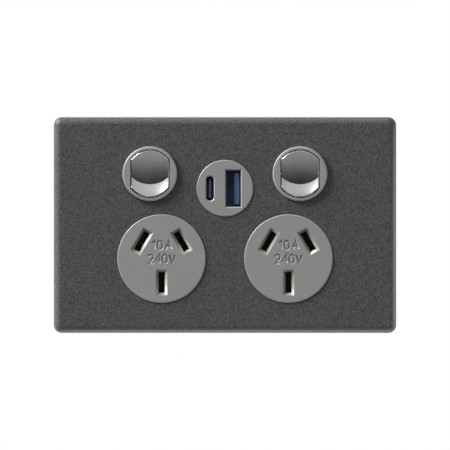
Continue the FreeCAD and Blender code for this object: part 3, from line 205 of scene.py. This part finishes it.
# %% metals and charger
LOOKS.update({
    "brass": ((124, 98, 58), 0.1, dict(metal=1, cloud=0.05, bump_mm=0.0003, bump_size_mm=0.8,
                                       stretch=(0.2, 1, 1))),
    "silver": ((226, 226, 222), 0.3, dict(metal=1, cloud=0.04, bump_mm=0.001)),
    "gold": ((224, 180, 92), 0.2, dict(metal=1, cloud=0.04, bump_mm=0.0005)),
    "steel": ((178, 179, 180), 0.3, dict(metal=1, cloud=0.05, bump_mm=0.001, stretch=(1, 0.15, 1))),
    "board": ((24, 92, 56), 0.4, dict(cloud=0.08, grain=0.1, grain_mm=0.8, bump_mm=0.004, coat=0.3)),
    "ferrite": ((62, 62, 66), 0.7, dict(cloud=0.1, grain=0.1, bump_mm=0.01)),
    "winding_tape": ((222, 190, 60), 0.3, dict(cloud=0.06, bump_mm=0.004, stretch=(1, 3, 0.2))),
    "capacitor_sleeve": ((40, 52, 78), 0.3, dict(cloud=0.05, bump_mm=0.002, coat=0.2)),
})
FINISHES = {name: finish(name, screen(*tone), rough, **more)
            for name, (tone, rough, more) in LOOKS.items()}
slot_of = {piece["node"]: piece["material_slot"] for piece in frame["record"]["subparts"]}
for name, piece in nodes.items():
    paint(piece, FINISHES[slot_of[name]])
print(len(FINISHES), "finishes on", len(nodes), "pieces")

# %% [markdown]
# ## Refining a piece
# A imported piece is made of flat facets, which show on a glossy curve.
# A refined copy has any doubled corners joined, takes extra detail such as engraving,
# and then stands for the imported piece.
# It is shaded smooth, apart from edges sharper than 30 degrees. The rim of its flat front is kept
# sharp as well, because smooth shading would otherwise spread from the rim over the whole flat.

# %% copy helpers
JOIN_WITHIN = 2e-6
CREASE_DEGREES = 30
FRONT_FACING = -0.9999  # the y of the normal of a face that looks straight to the front
SAME_LEVEL = 1e-6


def add_object(name, mesh):
    piece = bpy.data.objects.new(name, mesh)
    bpy.context.scene.collection.objects.link(piece)
    return piece


def refined_copy(node):
    """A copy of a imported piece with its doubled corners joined."""
    mesh = nodes[node].data.copy()
    fixed = bmesh.new()
    fixed.from_mesh(mesh)
    bmesh.ops.remove_doubles(fixed, verts=fixed.verts, dist=JOIN_WITHIN)
    fixed.to_mesh(mesh)
    fixed.free()
    return add_object(node + "_dressed", mesh)


def soften(mesh, front_mm):
    """Smooth shading with crisp creases. The flat front at front_mm keeps its own shade up to its rim."""
    mesh.polygons.foreach_set("use_smooth", [True] * len(mesh.polygons))
    mesh.set_sharp_from_angle(angle=math.radians(CREASE_DEGREES))
    level = -front_mm * MM
    flat = {face.index for face in mesh.polygons
            if face.normal.y < FRONT_FACING and abs(face.center.y - level) < SAME_LEVEL}
    beside = {}
    for face in mesh.polygons:
        for key in face.edge_keys:
            beside.setdefault(key, []).append(face.index in flat)
    for edge in mesh.edges:
        sides = beside[edge.key]
        if any(sides) and not all(sides):
            edge.use_edge_sharp = True
    mesh.update()


# %% [markdown]
# ## A groove
# The figures on the real faces are moulded in as shallow grooves with sloping sides.
# A font could be cut in, but its strokes have flat bottoms, which stay as bright as the face.
# So each stroke gets a cutter of its own: a long wedge that follows the stroke's path,
# with its edge at the depth of the groove. The wedge stands a little out of the face,
# so that the cut is clean, and it is widened where the path turns, so that its width stays even.

# %% groove cutter
RISE_MM = 0.1        # how far the wedge stands out of the face
LEAST_MITRE = 0.4    # keeps a sharp corner from growing a long spike
SHORTEST_STEP = 1e-9


def side_step(points, closed, i, half_wide):
    """The step from a point of the path to the wedge's side."""
    here = points[i]
    before = points[i - 1] if closed or i else here
    after = points[(i + 1) % len(points)] if closed or i < len(points) - 1 else here
    arms = []
    for start, end in ((before, here), (here, after)):
        step = Vector((end[0] - start[0], end[1] - start[1]))
        if step.length > SHORTEST_STEP:
            arms.append(step.normalized())
    along = (arms[0] + arms[-1]).normalized()
    across = Vector((-along.y, along.x))
    across *= half_wide / max(LEAST_MITRE, abs(across.dot(Vector((-arms[0].y, arms[0].x)))))
    return across


def wedge(points, closed, half_wide, depth, front):
    """Corners and faces of the cutter: a left, a right and a deep corner at each point of the path."""
    top_half = half_wide * (depth + RISE_MM) / depth
    top = -(front + RISE_MM)
    count = len(points)
    corners = []
    for i, (x, z) in enumerate(points):
        across = side_step(points, closed, i, top_half)
        corners += [(x + across.x, top, z + across.y), (x - across.x, top, z - across.y),
                    (x, -(front - depth), z)]
    faces = []
    for i in range(count if closed else count - 1):
        a = 3 * i
        b = 3 * ((i + 1) % count)
        faces += [(a, b, b + 1, a + 1), (a + 1, b + 1, b + 2, a + 2), (a + 2, b + 2, b, a)]
    if not closed:
        last = 3 * (count - 1)
        faces += [(0, 1, 2), (last + 1, last, last + 2)]
    return corners, faces


straight_corners, straight_faces = wedge([(0, 0), (0, 1)], False, 0.4, 0.3, 0)
print("a straight wedge has", len(straight_corners), "corners and", len(straight_faces), "faces")

# %% [markdown]
# ## The figures
# Six figures are needed. Each one is drawn as paths in a box that is 1 high, like the letters
# of a stencil, so that one height and one stroke width serve for all.
# Straight strokes are two or three points, and bends are pieces of an ellipse.

# %% figures


def arc(x, z, wide, tall, start, end, steps):
    """Points on an ellipse from one angle to another, in degrees."""
    angles = [math.radians(start + (end - start) * i / steps) for i in range(steps + 1)]
    return [(x + wide * math.cos(angle), z + tall * math.sin(angle)) for angle in angles]


# Each figure has its width and its paths, and True for a closed path
FIGURES = {
    "0": (0.62, [(arc(0.31, 0.5, 0.31, 0.5, 0, 360, 20)[:-1], True)]),
    "1": (0.3, [([(0, 0.76), (0.3, 1), (0.3, 0)], False)]),
    "2": (0.62, [(arc(0.31, 0.7, 0.3, 0.3, 165, -35, 10) + [(0, 0), (0.62, 0)], False)]),
    "4": (0.66, [([(0.5, 0), (0.5, 1), (0, 0.3), (0.66, 0.3)], False)]),
    "A": (0.74, [([(0, 0), (0.37, 1), (0.74, 0)], False), ([(0.14, 0.36), (0.6, 0.36)], False)]),
    "V": (0.7, [([(0, 1), (0.35, 0), (0.7, 1)], False)]),
}


def figures(text, tall_mm, gap, x_mm, z_mm, front_mm, stroke_mm, depth_mm):
    """One cutter with a V-shaped groove along each stroke of the text, centred on x and z."""
    wide = sum(FIGURES[mark][0] for mark in text) + gap * (len(text) - 1)
    corners = []
    faces = []
    left = x_mm - wide * tall_mm / 2
    for mark in text:
        mark_wide, paths = FIGURES[mark]
        for points, closed in paths:
            spots = [(left + x * tall_mm, z_mm + (z - 0.5) * tall_mm) for x, z in points]
            more, sides = wedge(spots, closed, stroke_mm / 2, depth_mm, front_mm)
            faces += [tuple(len(corners) + i for i in side) for side in sides]
            corners += more
        left += (mark_wide + gap) * tall_mm
    mesh = bpy.data.meshes.new("figures_" + text)
    mesh.from_pydata([Vector(corner) * MM for corner in corners], [], faces)
    fixed = bmesh.new()
    fixed.from_mesh(mesh)
    bmesh.ops.recalc_face_normals(fixed, faces=fixed.faces)
    fixed.to_mesh(mesh)
    fixed.free()
    return add_object("cutter_" + text, mesh)


print("figures", " ".join(FIGURES))

# %% [markdown]
# ## Rating marks on the socket faces
# Each face carries its plain rating in engraved figures: 10A above 240V.
# They could be a picture laid on the face, but then they would stay flat from every side.
# Here the wedges are cut out of the face with a boolean, as a chisel would, so the slopes
# of the grooves take the light like the real ones.

# %% engraving
FACE_MIDDLE = 22.0
FACE_OUT = 9.4
TALL = 2.9
STROKE = 0.8
GROOVE = 0.32
# Each line of figures: the gap between them, and how far they stand aside of and below the middle
RATING = {"10A": (0.34, 0.1, -6.95), "240V": (0.2, 0.05, -11.75)}


def carve(piece, cutter):
    """Cuts one solid out of another and throws the cutter away."""
    change = piece.modifiers.new("carve", "BOOLEAN")
    change.operation = "DIFFERENCE"
    change.solver = "EXACT"
    change.use_self = True
    change.object = cutter
    bpy.context.view_layer.update()
    mesh = bpy.data.meshes.new_from_object(piece.evaluated_get(bpy.context.evaluated_depsgraph_get()))
    piece.modifiers.clear()
    piece.data = mesh
    bpy.data.objects.remove(cutter)


for side, sign in (("left", -1), ("right", 1)):
    face = refined_copy("socket_face_" + side)
    for text, (gap, aside, level) in RATING.items():
        carve(face, figures(text, TALL, gap, sign * FACE_MIDDLE + aside, level, FACE_OUT, STROKE, GROOVE))
    soften(face.data, FACE_OUT)
    paint(face, FINISHES["grey_plastic"])
    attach(face, "mechanism")
    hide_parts("socket_face_" + side)
    print(face.name, len(face.data.polygons), "faces")

# %% [markdown]
# ## The stage
# The real socket hangs on a wall, and a wall right behind it would hide its back.
# So it hangs free here, above a plain pale floor that takes its soft shadow.
# The floor ends just in front of the piece, so that the glossy rockers don't mirror it.

# %% stage
FLOOR_LOW = -0.14
FLOOR_HALF = 0.8
FLOOR_FRONT = -0.02
FLOOR_TONE = (0.8, 0.8, 0.8, 1)
FLOOR_ROUGH = 0.6
floor_corners = [(-FLOOR_HALF, FLOOR_FRONT, FLOOR_LOW), (FLOOR_HALF, FLOOR_FRONT, FLOOR_LOW),
                 (FLOOR_HALF, FLOOR_HALF, FLOOR_LOW), (-FLOOR_HALF, FLOOR_HALF, FLOOR_LOW)]
floor_mesh = bpy.data.meshes.new("floor")
floor_mesh.from_pydata(floor_corners, [], [(0, 1, 2, 3)])
floor = add_object("floor", floor_mesh)
floor_finish = bpy.data.materials.new("floor")
floor_finish.use_nodes = True
floor_shader = floor_finish.node_tree.nodes["Principled BSDF"]
floor_shader.inputs["Base Color"].default_value = FLOOR_TONE
floor_shader.inputs["Roughness"].default_value = FLOOR_ROUGH
paint(floor, floor_finish)
print("floor", 2 * FLOOR_HALF, "m wide and", -FLOOR_LOW, "m below the middle of the piece")

# %% [markdown]
# ## The sky in front
# A metallic rocker shows its surroundings, so the surroundings have to be a studio and not one tone:
# dark low down, grey at eye level and pale overhead. The rockers turn that change into their own,
# from the dark crease to the bright foot. Large panels of card could stand round the piece,
# as a photographer would place them, but a graded sky does the same in one network.

# %% sky
# Each pair is a height, from 0 straight down to 1 straight up, and the light that comes from it
SKY_LEVELS = ((0.0, 0.1), (0.2, 0.01), (0.29, 0.012), (0.41, 0.2),
              (0.46, 0.5), (0.6, 0.6), (0.9, 0.62), (1.0, 0.3))
world = bpy.data.worlds.new("sky")
bpy.context.scene.world = world
world.use_nodes = True
sky = world.node_tree
way = add_node(sky, "TexCoord", {}).outputs["Generated"]
way_right, way_back, way_up = add_node(sky, "SeparateXYZ", {"Vector": way}).outputs
ramp = add_node(sky, "ValToRGB", {"Fac": rescale(sky, way_up, (-1, 1))})
stops = ramp.color_ramp.elements
while len(stops) < len(SKY_LEVELS):
    stops.new(0.5)
for stop, (place, level) in zip(stops, SKY_LEVELS):
    stop.position = place
    stop.color = (level, level, level, 1)
print("sky in", len(stops), "levels")

# %% [markdown]
# ## Darker places in the sky
# A camera and the person behind it are dark, and flat glossy faces mirror just that place.
# So a dark patch stands round the way straight to the front, and the contacts deep in the slots
# stay dark. The sky is also dimmer far to the right, away from the main softbox.

# %% darker places
FRONT_WAY = (0, -1, 0)
PATCH_SPAN = (0.06, 0.125)  # how far from the way to the front the patch begins to fade, and ends
PATCH_LEVEL = 0.02
RIGHT_SPAN = (0.55, 0.8)    # how far to the right the sky begins to dim, and stops
RIGHT_LEVEL = 0.25
from_front = add_node(sky, "VectorMath", {0: way, 1: FRONT_WAY}, "DISTANCE").outputs["Value"]
patch = rescale(sky, from_front, PATCH_SPAN, (PATCH_LEVEL, 1))
dimmer = rescale(sky, way_right, RIGHT_SPAN, (1, RIGHT_LEVEL))
shade = combine(sky, "MULTIPLY", patch, dimmer)
studio = sky.nodes["Background"]
sky.links.new(scaled(sky, ramp.outputs["Color"], shade), studio.inputs["Color"])
print("patch", PATCH_LEVEL, "and right-hand side", RIGHT_LEVEL, "of the sky's light")

# %% [markdown]
# ## The white backdrop
# The backdrop is white, but as a lamp it would wash out the piece. So only the camera sees it,
# and mirrors wherever they look behind the piece. In front mirrors keep the studio sky,
# because an all-white one would take the shading off the rockers.

# %% backdrop
BEHIND_SPAN = (0, 0.15)  # from a look along the wall to where the backdrop is full
WHITE = (1, 1, 1, 1)
rays = add_node(sky, "LightPath", {}).outputs
behind = rescale(sky, way_back, BEHIND_SPAN)
mirrors = combine(sky, "MAXIMUM", rays["Is Glossy Ray"], rays["Is Transmission Ray"])
mirrored = combine(sky, "MULTIPLY", mirrors, behind)
shown = combine(sky, "MAXIMUM", rays["Is Camera Ray"], mirrored)
backdrop = add_node(sky, "Background", {"Color": WHITE})
choice = add_node(sky, "MixShader", {"Fac": shown, 1: studio.outputs["Background"],
                                     2: backdrop.outputs["Background"]})
sky.links.new(choice.outputs["Shader"], sky.nodes["World Output"].inputs["Surface"])
print("backdrop in a network of", len(sky.nodes), "nodes")

# %% [markdown]
# ## The lamps
# The main softbox hangs on the upper left and only just in front of the wall plane:
# it lights the slopes of the slots and figures that face it far more than the flat faces.
# A lamp in front would be brighter on the flats and leave the slopes without any drawing.
# Two small cards, level with the cover and not in front of it, lift its lower and right-hand edges.

# %% lamps
# Each lamp has its place, the spot that it points at, its width and height, and its watts
LAMPS = {
    "upper_left_softbox": ((-1.3, -0.34, 1.15), (0, 0, 0), 0.8, 0.8, 84),
    "low_edge_card": ((0.02, -0.009, -0.1), (0.02, -0.008, 0), 0.2, 0.02, 0.08),
    "right_edge_card": ((0.12, -0.009, -0.01), (0, -0.008, -0.01), 0.02, 0.09, 0.05),
}
for name, (place, aim, wide, tall, watts) in LAMPS.items():
    lamp = bpy.data.lights.new(name, "AREA")
    lamp.shape = "RECTANGLE"
    lamp.size = wide
    lamp.size_y = tall
    lamp.energy = watts
    stand = bpy.data.objects.new(name, lamp)
    stand.location = place
    stand.rotation_euler = (Vector(aim) - Vector(place)).to_track_quat("-Z", "Y").to_euler()
    stand.visible_camera = False
    bpy.context.scene.collection.objects.link(stand)
    print(name, watts, "W")

# %% [markdown]
# ## The camera
# The picture looks straight at the front with a long lens, so the slots show almost no slant.
# A flat view without any perspective would be simpler, but it would hide the little that there is.
# The distance sets the scale: the picture is 156 mm wide at the face of the cover.

# %% camera
LENS = 250
SENSOR = 36
PICTURE_WIDE = 0.156
COVER_FRONT = -0.009
RAISED = 0.00002
NEAREST = 0.05
FARTHEST = 10
lens = bpy.data.cameras.new("camera")
lens.type = "PERSP"
lens.lens = LENS
lens.sensor_width = SENSOR
lens.clip_start = NEAREST
lens.clip_end = FARTHEST
camera = bpy.data.objects.new("camera", lens)
bpy.context.scene.collection.objects.link(camera)
reach = PICTURE_WIDE * LENS / SENSOR
camera.location = (0.0, COVER_FRONT - reach, RAISED)
camera.rotation_euler = (math.radians(90), 0, 0)
bpy.context.scene.camera = camera
print("camera stands", round(reach, 3), "m in front of the cover")

bpy.context.scene.view_settings.view_transform = "Standard"

# %% [markdown]
# ## The end
# At the end the scene is brought up to date.

# %% the end
import json

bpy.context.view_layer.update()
